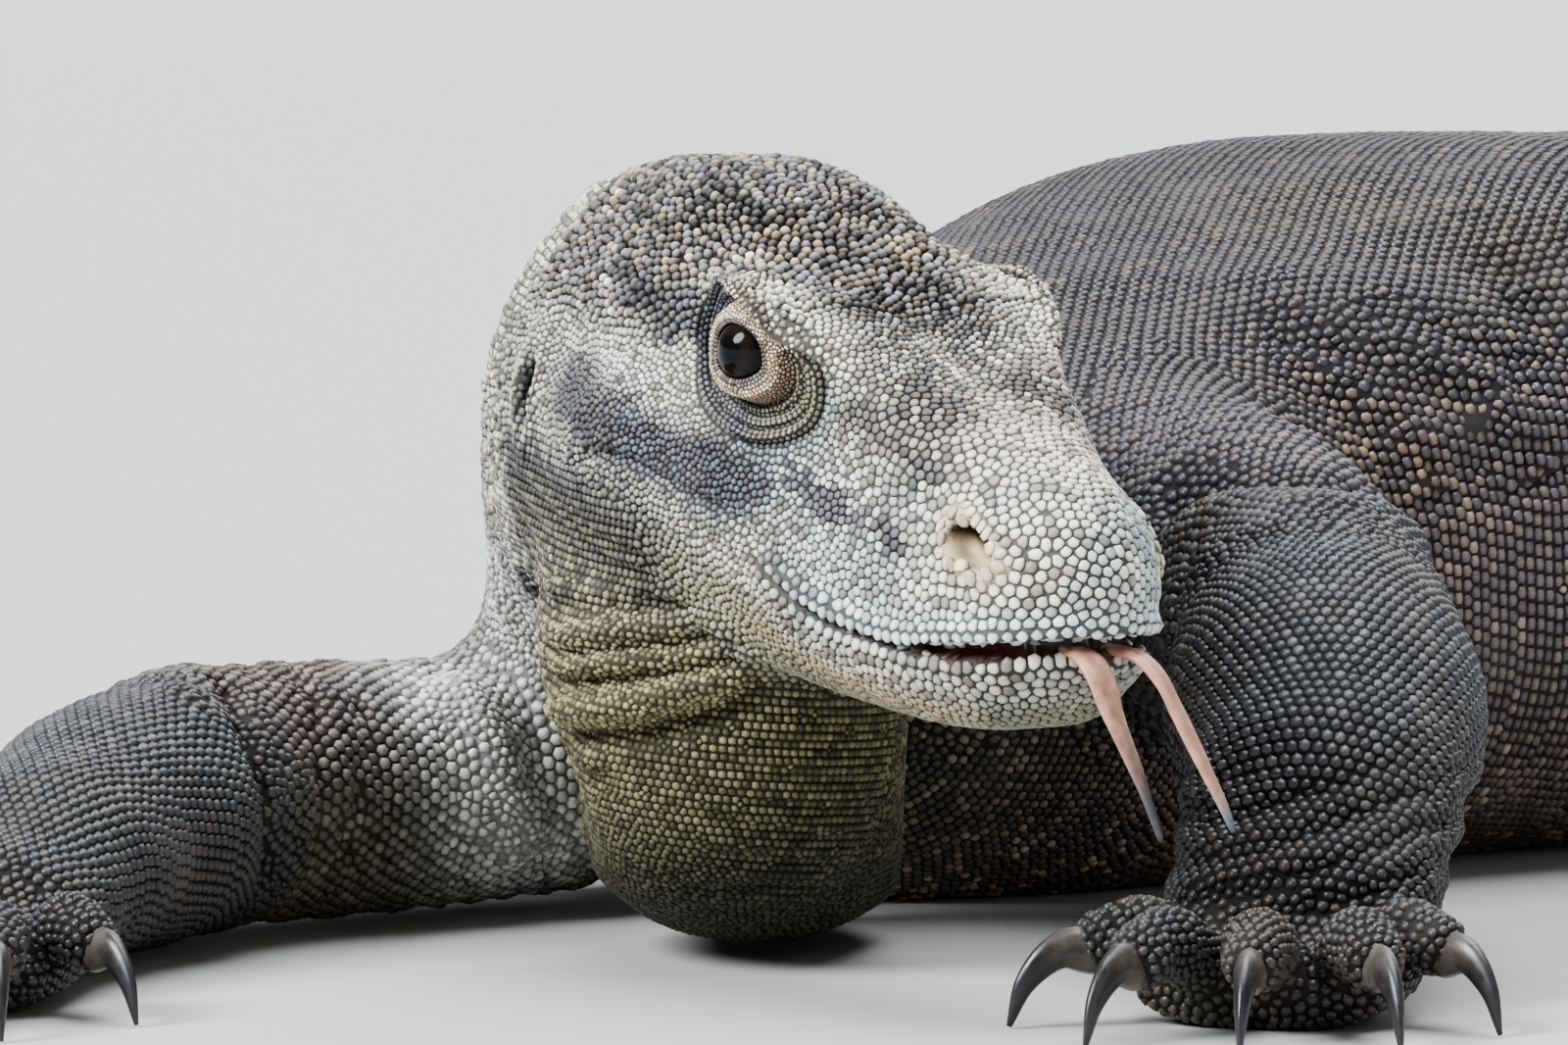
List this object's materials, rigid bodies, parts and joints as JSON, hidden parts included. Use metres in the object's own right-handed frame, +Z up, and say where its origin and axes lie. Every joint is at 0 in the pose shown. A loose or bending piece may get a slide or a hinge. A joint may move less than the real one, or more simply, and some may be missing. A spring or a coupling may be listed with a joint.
{
  "type": "komodo dragon",
  "caption": "A life-size Komodo dragon lying on its belly with forelegs spread, head raised and turned to its left, forked tongue out.",
  "frame": {"origin": "on the floor, under the middle of the whole animal's box", "axes": "+Z up; the animal faces -Y, its body bends away to +X and its tail ends towards +X"},
  "size_m": [2.0536, 1.0864, 0.1915],
  "materials": {
    "head_hide": "small raised scales, satin",
    "throat_hide": "rows of small scales, satin",
    "body_hide": "rows of domed scales, satin",
    "claw": "dark horn, polished by wear",
    "eye": "wet, glossy black",
    "tongue": "moist, soft"
  },
  "bodies": {
    "root": {"head": "head_hide", "lower_jaw": "head_hide", "neck": "throat_hide", "trunk_front": "body_hide", "trunk_middle": "body_hide", "trunk_rear": "body_hide", "tail_1": "body_hide", "tail_2": "body_hide", "tail_3": "body_hide", "tail_4": "body_hide", "upper_arm_left": "body_hide", "forearm_left": "body_hide", "hand_left": "body_hide", "upper_arm_right": "body_hide", "forearm_right": "body_hide", "hand_right": "body_hide", "thigh_left": "body_hide", "shin_left": "body_hide", "foot_left": "body_hide", "thigh_right": "body_hide", "shin_right": "body_hide", "foot_right": "body_hide", "eye_left": "eye", "eye_right": "eye", "tongue": "tongue", "claw_fore_left_1": "claw", "claw_fore_left_2": "claw", "claw_fore_left_3": "claw", "claw_fore_left_4": "claw", "claw_fore_left_5": "claw", "claw_fore_right_1": "claw", "claw_fore_right_2": "claw", "claw_fore_right_3": "claw", "claw_fore_right_4": "claw", "claw_fore_right_5": "claw", "claw_hind_left_1": "claw", "claw_hind_left_2": "claw", "claw_hind_left_3": "claw", "claw_hind_left_4": "claw", "claw_hind_left_5": "claw", "claw_hind_right_1": "claw", "claw_hind_right_2": "claw", "claw_hind_right_3": "claw", "claw_hind_right_4": "claw", "claw_hind_right_5": "claw"}
  },
  "joints": []
}
